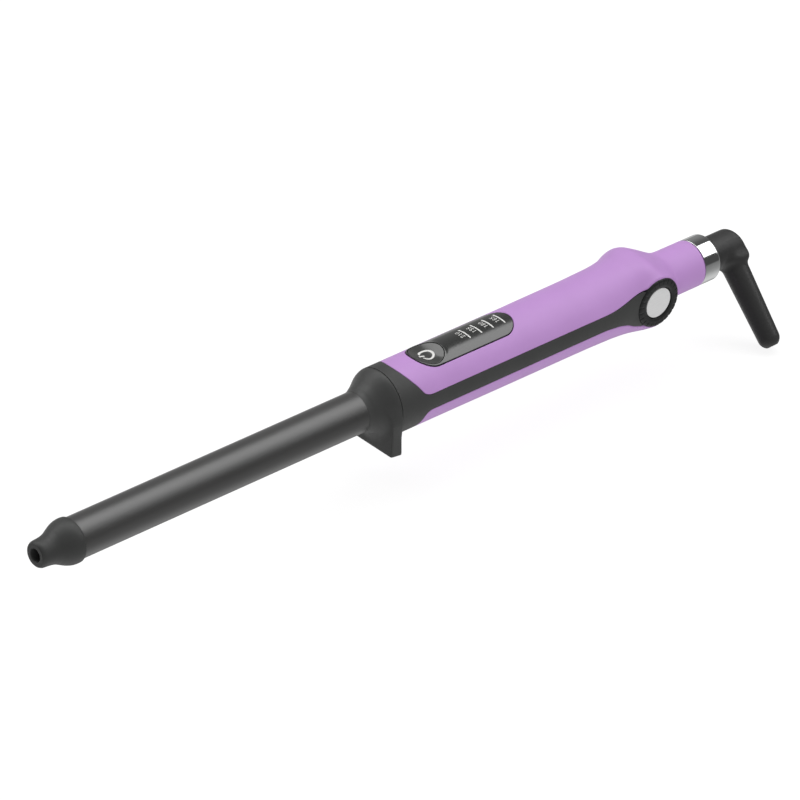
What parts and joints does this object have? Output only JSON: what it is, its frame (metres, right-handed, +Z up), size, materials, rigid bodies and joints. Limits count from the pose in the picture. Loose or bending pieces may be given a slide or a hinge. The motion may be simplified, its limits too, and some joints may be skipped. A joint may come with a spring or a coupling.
{
  "type": "curling iron",
  "caption": "Clipless curling wand: heated barrel with cool tip, cone with stand foot, two-tone handle with top control panel, side dial and swivelling cord elbow.",
  "frame": {"origin": "centre of the flat base of the stand foot under the cone", "axes": "+X along the wand from the tip to the cord elbow, +Z up away from the foot, -Y on the side that carries the dial"},
  "size_m": [0.4132, 0.0534, 0.0564],
  "materials": {
    "tip_plastic": "fine matte moulding",
    "steel": "bright zinc",
    "cast_aluminium": "as cast",
    "barrel_coating": "satin ceramic coat",
    "heater_ceramic": "matte",
    "heater_film": "glossy amber film",
    "fuse_metal": "satin",
    "sensor_glass": "clear bead",
    "lead_brown": "sleeved wire",
    "lead_blue": "sleeved wire",
    "cone_plastic": "fine matte moulding",
    "bushing_plastic": "filled heat resistant moulding",
    "frame_plastic": "fine matte moulding",
    "shell_lilac": "satin soft touch coat",
    "panel_lens": "smoked gloss",
    "button_plastic": "satin gloss",
    "dome_rubber": "matte",
    "component_black": "moulded",
    "board_green": "solder mask",
    "led_lens": "milky",
    "capacitor_yellow": "moulded case",
    "dial_plastic": "ribbed moulding",
    "badge_metal": "brushed",
    "pot_blue": "moulded",
    "ring_chrome": "mirror plated",
    "acetal_white": "natural acetal",
    "elbow_plastic": "fine matte moulding",
    "brass": "bright"
  },
  "bodies": {
    "wand": {"cool_tip": "tip_plastic", "tip_screw": "steel", "barrel_end_plug": "cast_aluminium", "barrel_tube": "barrel_coating", "heat_spreader_upper": "cast_aluminium", "heat_spreader_lower": "cast_aluminium", "ptc_heater": "heater_ceramic", "heater_film": "heater_film", "thermal_fuse": "fuse_metal", "ntc_sensor": "sensor_glass", "heater_lead_live": "lead_brown", "heater_lead_neutral": "lead_blue", "front_cone": "cone_plastic", "barrel_bushing": "bushing_plastic", "handle_frame": "frame_plastic", "upper_shell": "shell_lilac", "lower_shell": "shell_lilac", "shell_screw_front": "steel", "shell_screw_rear": "steel", "control_panel": "panel_lens", "button_dome": "dome_rubber", "tact_switch": "component_black", "control_pcb": "board_green", "pcb_screw_front": "steel", "pcb_screw_rear": "steel", "level_led_1": "led_lens", "level_led_2": "led_lens", "level_led_3": "led_lens", "level_led_4": "led_lens", "microcontroller": "component_black", "triac": "component_black", "filter_capacitor": "capacitor_yellow", "dial_hub": "frame_plastic", "hub_badge": "badge_metal", "hub_retainer": "steel", "dial_potentiometer": "pot_blue", "side_cap": "frame_plastic", "swivel_ring": "ring_chrome", "swivel_bearing": "acetal_white", "contact_block": "acetal_white", "contact_live": "brass", "contact_neutral": "brass", "supply_lead_live": "lead_brown", "supply_lead_neutral": "lead_blue"},
    "power_key": {"power_button": "button_plastic"},
    "dial": {"dial_ring": "dial_plastic"},
    "elbow": {"elbow_body": "elbow_plastic", "slip_ring_live": "brass", "slip_ring_neutral": "brass", "spindle_clip": "steel"}
  },
  "joints": [
    {"name": "power_press", "type": "slide", "parent": "wand", "child": "power_key", "axis": [0, 0, -1], "range_m": [0, 0.0006], "stiffness_N_per_m": 1200},
    {"name": "temperature_dial", "type": "hinge", "parent": "wand", "child": "dial", "pos_m": [0.1572, -0.014, 0.0198], "axis": [0, -1, 0], "range_deg": [0, 90]},
    {"name": "cord_swivel", "type": "hinge", "parent": "wand", "child": "elbow", "pos_m": [0.2046, 0, 0.0195], "axis": [1, 0, 0], "continuous": true}
  ]
}
